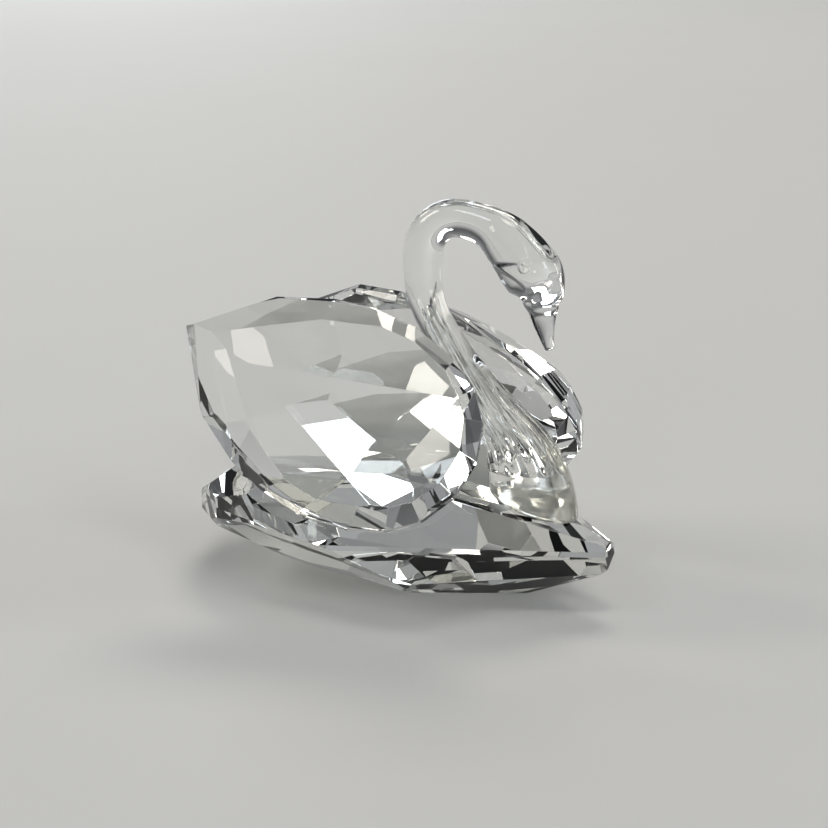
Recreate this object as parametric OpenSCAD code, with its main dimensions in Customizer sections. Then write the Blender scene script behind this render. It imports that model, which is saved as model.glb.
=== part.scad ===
// Cut-crystal swan figurine: faceted boat-shaped base, two pear-cut wings,
// one moulded neck with head and beak, all bonded with clear adhesive.
// Millimetres, +Z up, +X the way the swan faces, +Y the swan's left.
// Origin: centre line of the flat resting facet under the base.

/* [Base] */
// length of the boat-shaped base from tail to bow
base_l = 73; // [64:1:80]
// full width of the base at its girdle
base_w = 47; // [44:1:50]
// height of the girdle (widest line) above the resting facet
girdle_z = 9.5; // [8.5:0.5:10.5]
// height of the flat deck between the wings
deck_z = 19.5; // [17:0.5:21]

/* [Wings] */
// length of one pear-cut wing along its long axis
wing_l = 55; // [50:1:60]
// how far the wings lean in towards each other at the top, in degrees
wing_lean = 34; // [28:1:40]
// how far the wing tips spread apart towards the tail, in degrees
wing_toe = 13; // [9:1:17]
// how far the wing tips rise towards the tail, in degrees
wing_rise = 22; // [16:1:28]

/* [Neck] */
// scale of the neck tube and head thickness
neck_k = 1; // [0.9:0.05:1.15]

/* [Adhesive] */
// thickness of the clear adhesive film under the neck and behind each wing
film_t = 0.15; // [0.1:0.05:0.3]

/* [Hidden] */
big = 200;

// ---- shared cutting tools ----

// A facet is [turn, up, point]: the plane through point whose outside faces
// the direction with plan angle turn and elevation up.
module keep_inside(f)
    translate(f[2])
        rotate([0, 90 - f[1], f[0]])
            translate([-big / 2, -big / 2, -big])
                cube(big);

// a crystal cut by a whole list of facets
module gem(facets)
    intersection_for (f = facets)
        keep_inside(f);

// point at distance r from the origin in plan direction a, at height z
function plan_point(a, r, z) = [r * cos(a), r * sin(a), z];

// ---- wing, in its own frame: x along the axis from the round end, y across, z outward ----

// length that the facets below are laid out for
cut_l = 55;
wk = wing_l / cut_l;
// half outline of the girdle: a small arc round the end, running into a large arc to the tip
end_r = 15.4;
side_r = 36;
// direction in which the two arcs touch
join = 112.5;
side_c = [end_r, 0] - (side_r - end_r) * [cos(join), sin(join)];

// reach of the girdle outline in direction a
function pear(a) = a > join ? end_r * (1 + cos(a)) : side_r + side_c.x * cos(a) + side_c.y * sin(a);

// girdle sides: direction from the tip axis, steepness of the outer rim cut
RIM = [[45, 30], [66, 54], [77, 54], [88, 48], [101, 41], [116, 35], [134, 29], [157, 27]];
// slope of the inner rim cut, and of the second tier behind it
rim_back = -36;
tier_back = -60;
tier_in = 4.2;
end_cut = 27;
table_tilt = 5.9;
wing_top = 7.5;
wing_in = 5.6;
girdle_t = 0.5;
ridge_w = 1.5;
// distance from the round end at which the table meets the tip ridge
ridge_x = 38;
// main facets: direction and elevation
MAIN = [[-91, 74.3], [88, 70.4]];
// inner fan facets: direction, tilt from the flat, and a point on the line where each begins
INNER_FAN = [[0, 16, 40, 0], [-28, 15, 36, 1], [-55, 14, 30, 1], [-78, 16, 27, -2],
             [-100, 14, 18, 1], [-125, 15, 13, 1], [-152, 16, 9, 2], [180, 16, 6.5, 0], [28, 18, 42, 4]];

// second inner tier, turned half a step from the rim
WING_INNER = [for (s = [-1, 1], k = [0 : len(RIM) - 2])
    let (turn = (RIM[k][0] + RIM[k + 1][0]) / 2)
        [s * turn, tier_back, plan_point(s * turn, pear(turn) - tier_in, -wing_in)]];

WING_FACETS = concat(
    WING_INNER,
    // the table, highest towards the tip, and the flat inner face
    [[180, 90 - table_tilt, [ridge_x, 0, wing_top]], [0, -90, [0, 0, -wing_in]]],
    // two main facets either side of the tip ridge
    [for (k = MAIN) [k[0], k[1], [ridge_x, ridge_w, wing_top]]],
    // shallow facets fanned over the upper part of the inner face
    [for (k = INNER_FAN) [k[0], -90 + k[1], [k[2], k[3], -wing_in]]],
    // the round end
    [[180, 0, [0, 0, 0]], [180, end_cut, [0, 0, girdle_t]], [180, rim_back, [0, 0, -girdle_t]]],
    // girdle, outer rim cut and inner rim cut of every side
    [for (s = [-1, 1], c = RIM) [s * c[0], 0, plan_point(s * c[0], pear(c[0]), 0)]],
    [for (s = [-1, 1], c = RIM) [s * c[0], c[1], plan_point(s * c[0], pear(c[0]), girdle_t)]],
    [for (s = [-1, 1], c = RIM) [s * c[0], rim_back, plan_point(s * c[0], pear(c[0]), -girdle_t)]]
);

// round end of the right wing on its girdle
wing_e = [12.1, -16.8, 22.8];

// direction down the flank for the left wing, before mirroring
left_slide = 2.2;
left_drop = -left_slide * [-sin(wing_toe) * sin(wing_lean), cos(wing_toe) * sin(wing_lean), cos(wing_lean)];

module wing_pose()
    translate(wing_e)
        rotate([0, 0, wing_toe])
            rotate([90 - wing_lean, 0, 0])
                rotate([0, 0, 180 - wing_rise])
                    scale(wk)
                        children();

module wing_right()
    color([0.93, 0.95, 0.95, 0.4])
        wing_pose()
            gem(WING_FACETS);

// the left wing sits slightly lower on its flank, as bonded by hand
module wing_left()
    color([0.93, 0.95, 0.95, 0.4])
        mirror([0, 1, 0])
            translate(left_drop)
                wing_pose()
                    gem(WING_FACETS);

// ---- base ----

// plan outline: an ellipse round the wings, and a small arc at the bow
rear_x = -20;
bow_x = 26.5;
bow_r = 1.5;
rear_a = base_l + rear_x - bow_x - bow_r;
rear_b = base_w / 2;
// forward slope of the bow deck under the neck, and a point on it
seat_tilt = 14.4;
seat_p = [5.8, 0, 17.5];

// reach of the plan outline in direction a: rear ellipse or bow nose, whichever is further
function reach(a) = max(rear_x * cos(a) + norm([rear_a * cos(a), rear_b * sin(a)]), bow_x * cos(a) + bow_r);

// sides of the girdle: plan direction, hull cut, crown cut, height where the crown starts
SIDES = [[0, -8, 12, 10], [62, -31, 19, 9.8], [84, -38, 6, 11], [106, -38, 5, 12],
         [128, -38, 6, 12.5], [152, -36, 8, 12.5], [180, -36, 8, 12.5]];

// outward direction of the right wing's girdle plane
wing_n = [sin(wing_toe) * cos(wing_lean), -cos(wing_toe) * cos(wing_lean), sin(wing_lean)];
flank_p = wing_e - wing_n * (wing_in * wk + film_t);

BASE_BODY = concat(
    [[0, 90, [0, 0, deck_z]], [0, -90, [0, 0, 0]]],
    // girdle with a steep crown above it and the hull facets below it
    [for (m = [-1, 1], c = SIDES) [m * c[0], 0, plan_point(m * c[0], reach(c[0]), 0)]],
    [for (m = [-1, 1], c = SIDES) [m * c[0], c[2], plan_point(m * c[0], reach(c[0]), c[3])]],
    [for (m = [-1, 1], c = SIDES) [m * c[0], c[1], plan_point(m * c[0], reach(c[0]), girdle_z - girdle_t)]],
    // long lower facets rising from the resting facet
    [for (m = [-1, 1]) [m * 58, -51, [13.4, 0, 0]]],
    [for (m = [-1, 1]) [m * 95.5, -54, [-2.2, m * 9.8, 0]]],
    [for (m = [-1, 1]) [m * 160, -60, [-29, 0, 0]]],
    // bow deck sloping down to the nose, and the tail deck
    [[0, 90 - seat_tilt, seat_p]],
    [for (m = [-1, 1]) [m * 164, 54, [-34, 0, deck_z]]],
    [for (m = [-1, 1]) [m * 128, 52, [-30, m * 13, deck_z]]],
    // small star facets at the nose, on the tail crown and on the bilge
    [for (m = [-1, 1]) [m * 38, 62, [23.4, 0, 12.95]]],
    [for (m = [-1, 1]) [m * 24, -48, [25.2, 0, 4.6]]],
    [for (m = [-1, 1], a = [140, 168]) [m * a, 30, plan_point(m * a, reach(a) - 1.1, 14.6)]],
    [for (m = [-1, 1], a = [73, 118, 141]) [m * a, -47, plan_point(m * a, reach(a) - 3.6, 4.9)]]
);

// flanks that carry the wings
FLANKS = [for (m = [-1, 1]) [m * (90 - wing_toe), wing_lean, [flank_p.x, -m * flank_p.y, flank_p.z]]];

module base()
    color([0.92, 0.95, 0.93, 0.4])
        gem(concat(BASE_BODY, FLANKS));

// ---- neck with head and beak, one moulding in the plane of symmetry ----

// centre line: one arc after another from the foot to the beak tip
// each row: length, turn in degrees, half thickness and half width at its end
BENDS = [
    [6, 24, 6.5, 5.1],
    [6, 18, 4.6, 4.4],
    [12, -4, 3.1, 3.2],
    [8, -4, 2.7, 2.8],
    [8, -30, 3, 3],
    [4.6, -14, 3.2, 3.1],
    [9.2, -82, 3, 3.1],
    [5, -16, 3.2, 3.1],
    [5, -26, 4.3, 3.7],
    [6.2, -8, 4.9, 4.1],
    [3.5, -30, 3.6, 3.1],
    [2.5, -4, 2.1, 2.3],
    [5.5, 16, 0.8, 1]
];
// half thickness and half width of the foot, its first heading, and its place along the bow deck
foot_size = [7.6, 5.6];
foot_heading = 92;
foot_reach = 8.8;
// length over which the cross sections turn from the deck's slope to the centre line
foot_turn = 11;
neck_rings = 64;
neck_sides = 28;
seat_up = [sin(seat_tilt), 0, cos(seat_tilt)];
foot = seat_p + foot_reach * [cos(seat_tilt), 0, -sin(seat_tilt)] + film_t * seat_up;

// length, heading and end point after the first n arcs
function run(n) = n == 0 ? 0 : run(n - 1) + BENDS[n - 1][0];
function turned(n) = n == 0 ? foot_heading : turned(n - 1) + BENDS[n - 1][1];
function knot(n) = n == 0 ? foot : knot(n - 1) + arc(turned(n - 1), BENDS[n - 1][0], BENDS[n - 1][1]);

// step along an arc of length l that starts at heading a and turns by t
function arc(a, l, t) =
    let (half = t / 2, chord = t == 0 ? l : l * sin(half) / (half * PI / 180))
        chord * [cos(a + half), 0, sin(a + half)];

// half sizes after n arcs, and the arc that holds distance s
function size(n) = n <= 0 ? foot_size : let (b = BENDS[min(n, len(BENDS)) - 1]) [b[2], b[3]];
function bend_at(s, i = 0) = i == len(BENDS) - 1 || s < run(i + 1) ? i : bend_at(s, i + 1);

// smooth curve through four values
function blend(p, q, r, s, u) =
    0.5 * (2 * q + (r - p) * u + (2 * p - 5 * q + 4 * r - s) * u * u + (3 * q - p - 3 * r + s) * u * u * u);

// cross section at distance s from the foot
function section(s) =
    let (i = bend_at(s), b = BENDS[i], u = (s - run(i)) / b[0], a = turned(i) + b[1] * u)
    let (c = knot(i) + arc(turned(i), b[0] * u, b[1] * u), w = min(1, s / foot_turn))
    let (lean = seat_up * (1 - w) + [cos(a), 0, sin(a)] * w, h = lean / norm(lean))
    let (r = neck_k * blend(size(i - 1), size(i), size(i + 1), size(i + 2), u))
        [for (j = [0 : neck_sides - 1])
            let (v = 360 * j / neck_sides)
                c + [h.z * r[0] * cos(v), r[1] * sin(v), -h.x * r[0] * cos(v)]];

neck_points = [for (i = [0 : neck_rings]) each section(run(len(BENDS)) * i / neck_rings)];
neck_faces = concat(
    [[for (j = [0 : neck_sides - 1]) neck_sides - 1 - j]],
    [[for (j = [0 : neck_sides - 1]) neck_rings * neck_sides + j]],
    [for (i = [0 : neck_rings - 1], j = [0 : neck_sides - 1], h = [0, 1])
        let (k = (j + 1) % neck_sides, a = i * neck_sides, b = a + neck_sides)
            h == 0 ? [a + j, a + k, b + k] : [a + j, b + k, b + j]]
);

module neck()
    color([0.94, 0.95, 0.94, 0.4])
        polyhedron(neck_points, neck_faces);

// ---- adhesive ----

module film_neck()
    color([0.95, 0.93, 0.8, 0.6])
        translate(foot)
            rotate([0, seat_tilt, 0])
                translate([0, 0, -film_t])
                    linear_extrude(film_t)
                        polygon([for (j = [0 : neck_sides - 1])
                            let (v = 360 * j / neck_sides)
                                neck_k * [foot_size[0] * cos(v), foot_size[1] * sin(v)]]);

// film between a flank and the back of a wing that has slid by drop
module film_wing(drop)
    color([0.95, 0.93, 0.8, 0.6])
        intersection() {
            gem(BASE_BODY);
            translate(drop)
                wing_pose()
                    gem(concat(WING_INNER, [
                        [0, 90, [0, 0, -wing_in]],
                        [0, -90, [0, 0, -wing_in - film_t / wk]]
                    ]));
        }

module film_wing_right()
    film_wing([0, 0, 0]);

module film_wing_left()
    mirror([0, 1, 0])
        film_wing(left_drop);

base();
wing_right();
wing_left();
neck();
film_neck();
film_wing_right();
film_wing_left();
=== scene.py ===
"""Visual model of the cut-crystal swan: bevelled crystal blocks, a finely shaped neck, clear adhesive."""
import math
import bmesh
import bpy
import numpy as np
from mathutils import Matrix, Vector


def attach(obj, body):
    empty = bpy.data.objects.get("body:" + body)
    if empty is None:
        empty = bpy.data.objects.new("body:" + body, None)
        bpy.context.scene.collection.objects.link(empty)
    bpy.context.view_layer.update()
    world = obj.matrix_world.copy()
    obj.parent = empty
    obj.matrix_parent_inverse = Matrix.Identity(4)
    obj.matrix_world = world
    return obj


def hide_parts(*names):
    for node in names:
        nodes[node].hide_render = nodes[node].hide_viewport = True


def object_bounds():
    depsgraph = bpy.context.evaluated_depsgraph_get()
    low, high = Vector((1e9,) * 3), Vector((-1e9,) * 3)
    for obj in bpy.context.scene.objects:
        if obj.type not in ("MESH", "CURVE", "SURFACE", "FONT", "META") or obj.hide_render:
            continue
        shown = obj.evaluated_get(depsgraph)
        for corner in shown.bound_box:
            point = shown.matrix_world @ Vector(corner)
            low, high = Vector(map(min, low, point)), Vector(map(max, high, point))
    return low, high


MM = 0.001
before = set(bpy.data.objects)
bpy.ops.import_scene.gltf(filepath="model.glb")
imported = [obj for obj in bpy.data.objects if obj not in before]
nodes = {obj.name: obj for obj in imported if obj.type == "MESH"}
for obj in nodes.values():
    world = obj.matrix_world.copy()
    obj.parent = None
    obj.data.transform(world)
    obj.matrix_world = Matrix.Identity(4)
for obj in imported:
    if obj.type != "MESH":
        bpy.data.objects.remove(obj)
cad_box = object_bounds()


# ---------- node helpers ----------

def link(tree, a, b):
    tree.links.new(a, b)


def noise(tree, scale, detail=3.0):
    coord = tree.nodes.new("ShaderNodeTexCoord")
    n = tree.nodes.new("ShaderNodeTexNoise")
    n.inputs["Scale"].default_value = scale
    n.inputs["Detail"].default_value = detail
    link(tree, coord.outputs["Object"], n.inputs["Vector"])
    return n.outputs["Fac"]


def ramp(tree, fac, low, high, a, b):
    r = tree.nodes.new("ShaderNodeMapRange")
    link(tree, fac, r.inputs["Value"])
    r.inputs["From Min"].default_value = low
    r.inputs["From Max"].default_value = high
    r.inputs["To Min"].default_value = a
    r.inputs["To Max"].default_value = b
    return r.outputs["Result"]


def tint(tree, fac, a, b):
    m = tree.nodes.new("ShaderNodeMix")
    m.data_type = "RGBA"
    link(tree, fac, m.inputs["Factor"])
    m.inputs["A"].default_value = (*a, 1)
    m.inputs["B"].default_value = (*b, 1)
    return m.outputs["Result"]


def crystal(name, ior, colour_a, colour_b, rough, bump, scale):
    """Polished crystal: faint tint drift, polishing haze and a very shallow surface ripple."""
    mat = bpy.data.materials.new(name)
    mat.use_nodes = True
    tree = mat.node_tree
    tree.nodes.clear()
    out = tree.nodes.new("ShaderNodeOutputMaterial")
    glass = tree.nodes.new("ShaderNodeBsdfPrincipled")
    glass.inputs["Transmission Weight"].default_value = 1.0
    glass.inputs["IOR"].default_value = ior
    drift = noise(tree, 60.0)
    link(tree, tint(tree, drift, colour_a, colour_b), glass.inputs["Base Color"])
    haze = noise(tree, scale, 6.0)
    link(tree, ramp(tree, haze, 0.45, 0.75, rough[0], rough[1]), glass.inputs["Roughness"])
    if bump:
        b = tree.nodes.new("ShaderNodeBump")
        b.inputs["Strength"].default_value = bump
        b.inputs["Distance"].default_value = 0.0002
        link(tree, noise(tree, 130.0), b.inputs["Height"])
        link(tree, b.outputs["Normal"], glass.inputs["Normal"])
    link(tree, glass.outputs["BSDF"], out.inputs["Surface"])
    return mat


wing_glass = crystal("wing_crystal", 1.60, (0.985, 0.99, 0.985), (0.97, 0.985, 0.975),
                     (0.0, 0.012), 0.0, 300.0)
base_glass = crystal("base_crystal", 1.60, (0.98, 0.985, 0.96), (0.96, 0.975, 0.95), (0.0, 0.015), 0.0, 300.0)
foot_glass = crystal("neck_foot_crystal", 1.52, (0.98, 0.985, 0.955), (0.965, 0.975, 0.94),
                     (0.10, 0.24), 0.08, 250.0)
neck_glass = crystal("neck_crystal", 1.52, (0.985, 0.99, 0.98), (0.975, 0.985, 0.97),
                     (0.0, 0.03), 0.12, 400.0)
adhesive = crystal("clear_adhesive", 1.50, (0.985, 0.975, 0.92), (0.96, 0.94, 0.86), (0.02, 0.18), 0.3, 500.0)


# ---------- piece helpers ----------

def piece(name, mesh, mat, cad):
    ob = bpy.data.objects.new(name, mesh)
    bpy.context.scene.collection.objects.link(ob)
    mesh.materials.append(mat)
    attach(ob, "root")
    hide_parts(cad)
    return ob


MERGE = 0.00002
FLAT = math.radians(0.6)
EDGE = 0.00012


def cut_block(name, cad, mat):
    """A crystal block from its solid: flat facets kept dead flat, every edge polished to a thin bevel."""
    bm = bmesh.new()
    bm.from_mesh(nodes[cad].data)
    bmesh.ops.remove_doubles(bm, verts=bm.verts, dist=MERGE)
    bmesh.ops.dissolve_limit(bm, angle_limit=FLAT, verts=bm.verts, edges=bm.edges)
    bmesh.ops.bevel(bm, geom=bm.edges[:], offset=EDGE, segments=2, profile=0.6, affect="EDGES",
                    clamp_overlap=True)
    bmesh.ops.recalc_face_normals(bm, faces=bm.faces)
    mesh = bpy.data.meshes.new(name)
    bm.to_mesh(mesh)
    bm.free()
    return piece(name, mesh, mat, cad)


cut_block("base_block", "base", base_glass)
cut_block("wing_right_block", "wing_right", wing_glass)
cut_block("wing_left_block", "wing_left", wing_glass)


# ---------- neck, head and beak ----------

# centre line: one arc after another from the foot to the beak tip, in millimetres
# each row: length, turn in degrees, half thickness and half width at its end
BENDS = np.array([
    [6, 24, 6.5, 5.1],
    [6, 18, 4.6, 4.4],
    [12, -4, 3.1, 3.2],
    [8, -4, 2.7, 2.8],
    [8, -30, 3, 3],
    [4.6, -14, 3.2, 3.1],
    [9.2, -82, 3, 3.1],
    [5, -16, 3.2, 3.1],
    [5, -26, 4.3, 3.7],
    [6.2, -8, 4.9, 4.1],
    [3.5, -30, 3.6, 3.1],
    [2.5, -4, 2.1, 2.3],
    [5.5, 16, 0.8, 1.0]
])
FOOT_SIZE = np.array([7.6, 5.6])
FOOT_HEADING = 92
FOOT_REACH = 8.8
FOOT_TURN = 11
SEAT_TILT = math.radians(14.4)
SEAT_POINT = np.array([5.8, 17.5])
FILM = 0.15
RING_PITCH = 0.3
THINNEST = 0.2
SIDES = 112

SEAT_UP = np.array([math.sin(SEAT_TILT), math.cos(SEAT_TILT)])
SEAT_ALONG = np.array([math.cos(SEAT_TILT), -math.sin(SEAT_TILT)])
RUN = np.concatenate([[0], np.cumsum(BENDS[:, 0])])
TURNED = FOOT_HEADING + np.concatenate([[0], np.cumsum(BENDS[:, 1])])
SIZE = np.vstack([FOOT_SIZE, BENDS[:, 2:]])


def arc(heading, length, turn):
    half = math.radians(turn) / 2
    chord = length * math.sin(half) / half if half else length
    a = math.radians(heading) + half
    return chord * np.array([math.cos(a), math.sin(a)])


KNOTS = [SEAT_POINT + FOOT_REACH * SEAT_ALONG + FILM * SEAT_UP]
for row, start in zip(BENDS, TURNED):
    KNOTS.append(KNOTS[-1] + arc(start, row[0], row[1]))


def along(s):
    """Centre, heading and half sizes of the cross section at distance s from the foot."""
    i = max(0, min(len(BENDS) - 1, int(np.searchsorted(RUN, s, side="right")) - 1))
    u = (s - RUN[i]) / BENDS[i][0]
    centre = KNOTS[i] + arc(TURNED[i], BENDS[i][0] * u, BENDS[i][1] * u)
    a = math.radians(TURNED[i] + BENDS[i][1] * u)
    w = min(1.0, s / FOOT_TURN)
    h = SEAT_UP * (1 - w) + np.array([math.cos(a), math.sin(a)]) * w
    p, q, r, z = (SIZE[max(0, min(len(SIZE) - 1, k))] for k in (i - 1, i, i + 1, i + 2))
    square, cube = 2 * p - 5 * q + 4 * r - z, 3 * q - p - 3 * r + z
    size = 0.5 * (2 * q + (r - p) * u + square * u * u + cube * u ** 3)
    return centre, h / np.linalg.norm(h), size


def smooth(x, a, b):
    k = min(1.0, max(0.0, (x - a) / (b - a)))
    return k * k * (3 - 2 * k)


def bell(x, centre, width):
    return math.exp(-((x - centre) / width) ** 2)


FOOT_LINE = 5.4
# flutes: where they end at the front, how much higher on the sides, and how many
FLUTE_TOP, FLUTE_RISE, FLUTES = 15.6, 24.7, 13
# places on the head: distance from the foot, and angle from the throat side where it matters
CHEEK_START, CHEEK_END, CHEEK_ANGLE = 57.0, 72.0, 92
EYE, EYE_ANGLE, EYE_RADIUS = 68.9, 112, 4.4
KNOB, KNOB_ANGLE, KNOB_RADIUS = 72.9, 98, 3.4
CREASE = 74.9
MOUTH_START, MOUTH_END, MOUTH_ANGLE = 75.1, 80.8, 72


def relief(s, a):
    """Inward depth in millimetres at distance s from the foot, a degrees round from the throat side."""
    side = abs(a)
    depth = 0.0
    # feather flutes down the lower neck and chest, starting in a point on each side
    top = FLUTE_TOP + FLUTE_RISE * bell(side, 70, 48)
    inside = smooth(top - s, 0.0, 7.0) * smooth(s, FOOT_LINE, FOOT_LINE + 0.4)
    ridges = 0.5 + 0.5 * math.cos(math.radians(a) * FLUTES + 2.0 * math.sin(0.15 * s))
    depth += inside * (0.10 + 0.42 * ridges ** 1.5)
    # cheek and chin set in below a line from the throat to the beak root
    edge = CHEEK_ANGLE * smooth(s, CHEEK_START, CHEEK_END)
    cheek = smooth(s, CHEEK_START, CHEEK_START + 2.5) * (1 - smooth(s, 73.4, 75.0))
    depth += 0.32 * smooth(edge - side, 0, 9) * cheek
    depth -= 0.22 * bell(side, edge * 0.45, 14) * smooth(s, 61.0, 63.7) * (1 - smooth(s, 71.0, 73.3))
    # eye: a small ring with a dimple
    eye = math.hypot(s - EYE, math.radians(side - EYE_ANGLE) * EYE_RADIUS)
    depth += 0.16 * bell(eye, 0.0, 0.34) - 0.12 * bell(eye, 0.75, 0.26) + 0.07 * bell(eye, 1.2, 0.22)
    # rounded knob at the root of the beak
    knob = math.hypot(s - KNOB, math.radians(side - KNOB_ANGLE) * KNOB_RADIUS)
    depth -= 0.50 * bell(knob, 0.0, 1.0)
    # crease where the forehead meets the beak
    depth += 0.28 * bell(s, CREASE, 0.35) * smooth(side, 40, 110)
    # mouth line down each side of the beak
    mouth = smooth(s, MOUTH_START, MOUTH_START + 1.6) * (1 - smooth(s, MOUTH_END - 1.5, MOUTH_END))
    depth += 0.16 * bell(side, MOUTH_ANGLE, 7) * mouth
    return depth


def neck_mesh():
    total = RUN[-1]
    rings = round(total / RING_PITCH)
    stops = [total * i / rings for i in range(rings + 1)]
    verts, faces = [], []
    for s in stops:
        c, h, size = along(s)
        for j in range(SIDES):
            a = 360.0 * j / SIDES
            d = relief(s, a if a <= 180 else a - 360)
            ra, rb = max(THINNEST, size[0] - d), max(THINNEST, size[1] - d)
            ca, sa = math.cos(math.radians(a)), math.sin(math.radians(a))
            verts.append((c[0] + h[1] * ra * ca, rb * sa, c[1] - h[0] * ra * ca))
    for i in range(len(stops) - 1):
        for j in range(SIDES):
            k = (j + 1) % SIDES
            a, b = i * SIDES, (i + 1) * SIDES
            faces.append((a + j, a + k, b + k, b + j))
    # flat sole, and a rounded end on the beak
    faces.append(tuple(reversed(range(SIDES))))
    tip, h, size = along(total)
    base = (len(stops) - 1) * SIDES
    for out, scale in ((0.16, 0.86), (0.27, 0.6), (0.32, 0.3)):
        for j in range(SIDES):
            a = math.radians(360.0 * j / SIDES)
            ra, rb = size[0] * scale, size[1] * scale
            verts.append((tip[0] + h[0] * out + h[1] * ra * math.cos(a), rb * math.sin(a),
                          tip[1] + h[1] * out - h[0] * ra * math.cos(a)))
        new = len(verts) - SIDES
        for j in range(SIDES):
            k = (j + 1) % SIDES
            faces.append((base + j, base + k, new + k, new + j))
        base = new
    faces.append(tuple(base + j for j in range(SIDES)))
    mesh = bpy.data.meshes.new("neck_moulding")
    mesh.from_pydata([Vector(v) * MM for v in verts], [], faces)
    bm = bmesh.new()
    bm.from_mesh(mesh)
    bmesh.ops.recalc_face_normals(bm, faces=bm.faces)
    for f in bm.faces:
        f.smooth = len(f.verts) == 4
    bm.to_mesh(mesh)
    bm.free()
    return mesh


neck = piece("neck_moulding", neck_mesh(), neck_glass, "neck")
neck.data.materials.append(foot_glass)
for side in neck.data.polygons[:round(FOOT_LINE / RING_PITCH) * SIDES]:
    side.material_index = 1


# ---------- adhesive ----------

OVERLAP = 0.00003


def film_from_solid(name, cad):
    """A cured film, pressed very slightly into both crystal faces so that light passes straight through."""
    bm = bmesh.new()
    bm.from_mesh(nodes[cad].data)
    bmesh.ops.remove_doubles(bm, verts=bm.verts, dist=MERGE / 2)
    bmesh.ops.dissolve_limit(bm, angle_limit=FLAT, verts=bm.verts, edges=bm.edges)
    bmesh.ops.recalc_face_normals(bm, faces=bm.faces)
    widest = sorted(bm.faces, key=lambda f: -f.calc_area())[:2]
    moves = [(f.normal.copy(), list(f.verts)) for f in widest]
    for normal, vs in moves:
        for v in vs:
            v.co += normal * OVERLAP
    mesh = bpy.data.meshes.new(name)
    bm.to_mesh(mesh)
    bm.free()
    return piece(name, mesh, adhesive, cad)


film_from_solid("adhesive_neck", "film_neck")
film_from_solid("adhesive_wing_right", "film_wing_right")
film_from_solid("adhesive_wing_left", "film_wing_left")


# ---------- floor, light, camera ----------

CENTRE = (-0.008, 0.0, 0.028)
FLOOR_SIZE = 4.4
FLOOR_GAP = 0.00005
PALE = (0.62, 0.62, 0.61)


def floor_material():
    """Plain pale paper, the same for every ray."""
    mat = bpy.data.materials.new("floor_paper")
    mat.use_nodes = True
    tree = mat.node_tree
    bsdf = tree.nodes["Principled BSDF"]
    paper = tint(tree, noise(tree, 8.0), PALE, tuple(c * 1.04 for c in PALE))
    link(tree, paper, bsdf.inputs["Base Color"])
    bsdf.inputs["Roughness"].default_value = 0.7
    return mat


bpy.ops.mesh.primitive_plane_add(size=FLOOR_SIZE)
floor = bpy.context.object
floor.name = "floor"
floor.location = (0, 0, cad_box[0][2] - FLOOR_GAP)
floor.data.materials.append(floor_material())

# soft white studio panels, some a little warm and some a little cool
WARM = (1.0, 0.95, 0.87)
COOL = (0.88, 0.94, 1.0)
FAR = 2.4


def panel(name, where, size, radiance, colour):
    """A plain soft area light aimed at the swan, FAR times as far and as large as listed."""
    light = bpy.data.lights.new(name, "AREA")
    light.shape = "RECTANGLE"
    light.size = size[0] * FAR
    light.size_y = size[1] * FAR
    light.color = colour
    light.energy = radiance * math.pi * light.size * light.size_y
    ob = bpy.data.objects.new(name, light)
    bpy.context.scene.collection.objects.link(ob)
    ob.location = Vector(where) * FAR
    ob.rotation_euler = (Vector(CENTRE) - ob.location).to_track_quat("-Z", "Y").to_euler()


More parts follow.
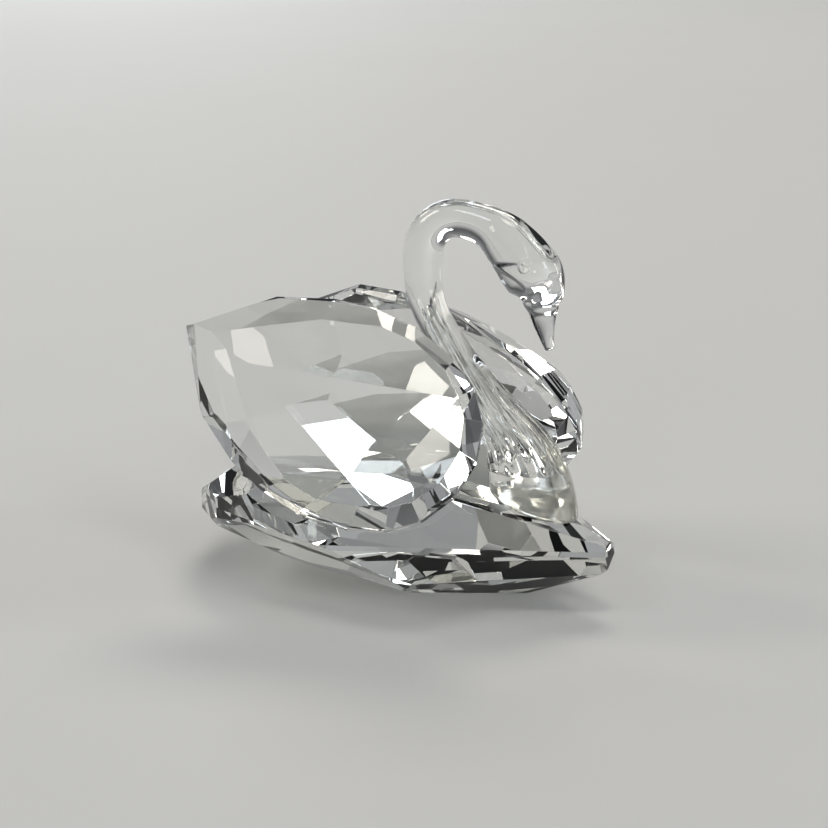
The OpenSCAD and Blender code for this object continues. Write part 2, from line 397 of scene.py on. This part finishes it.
panel("back_key", (-0.25, 0.60, 0.70), (0.34, 0.24), 8.0, WARM)
panel("front_fill", (0.72, -0.30, 0.55), (0.20, 0.30), 6.0, COOL)
panel("left_strip", (-0.70, -0.35, 0.38), (0.16, 0.36), 7.0, WARM)
panel("right_strip", (0.70, 0.45, 0.30), (0.16, 0.34), 6.0, COOL)
panel("top", (0.05, -0.05, 1.00), (0.34, 0.22), 6.0, WARM)
panel("high_left", (-0.45, -0.55, 0.95), (0.18, 0.18), 6.0, COOL)
panel("low_front", (0.20, -0.85, 0.24), (0.22, 0.12), 5.0, WARM)
panel("low_back", (-0.55, 0.55, 0.18), (0.28, 0.12), 5.0, COOL)
panel("rear", (-0.90, 0.10, 0.45), (0.16, 0.20), 6.0, WARM)

# the room: pale at the horizon like the floor, grey above it, brighter overhead
HORIZON, WALL, CEILING = (0.50, 0.50, 0.49), (0.07, 0.07, 0.075), (0.40, 0.41, 0.42)
world = bpy.data.worlds.new("studio")
bpy.context.scene.world = world
world.use_nodes = True
wt = world.node_tree
direction = wt.nodes.new("ShaderNodeTexCoord")
split = wt.nodes.new("ShaderNodeSeparateXYZ")
link(wt, direction.outputs["Generated"], split.inputs["Vector"])
low = ramp(wt, split.outputs["Z"], 0.05, 0.22, 0.0, 1.0)
high = ramp(wt, split.outputs["Z"], 0.22, 1.0, 0.0, 1.0)
room = wt.nodes.new("ShaderNodeMix")
room.data_type = "RGBA"
link(wt, high, room.inputs["Factor"])
link(wt, tint(wt, low, HORIZON, WALL), room.inputs["A"])
room.inputs["B"].default_value = (*CEILING, 1)
link(wt, room.outputs["Result"], wt.nodes["Background"].inputs["Color"])
wt.nodes["Background"].inputs["Strength"].default_value = 1.0

AZIMUTH, ELEVATION = math.radians(33), math.radians(15)
camera = bpy.data.cameras.new("camera")
camera.lens_unit = "FOV"
camera.angle = math.radians(22)
cam = bpy.data.objects.new("camera", camera)
bpy.context.scene.collection.objects.link(cam)
level = math.cos(ELEVATION)
back = Vector((math.sin(AZIMUTH) * level, -math.cos(AZIMUTH) * level, math.sin(ELEVATION)))
cam.location = (0.1721, -0.2773, 0.1149)
cam.rotation_euler = back.to_track_quat("Z", "Y").to_euler()
bpy.context.scene.camera = cam
bpy.context.scene.view_settings.view_transform = "Standard"
bpy.context.scene.cycles.transmission_bounces = 16
bpy.context.scene.cycles.max_bounces = 20
bpy.context.scene.cycles.transparent_max_bounces = 16
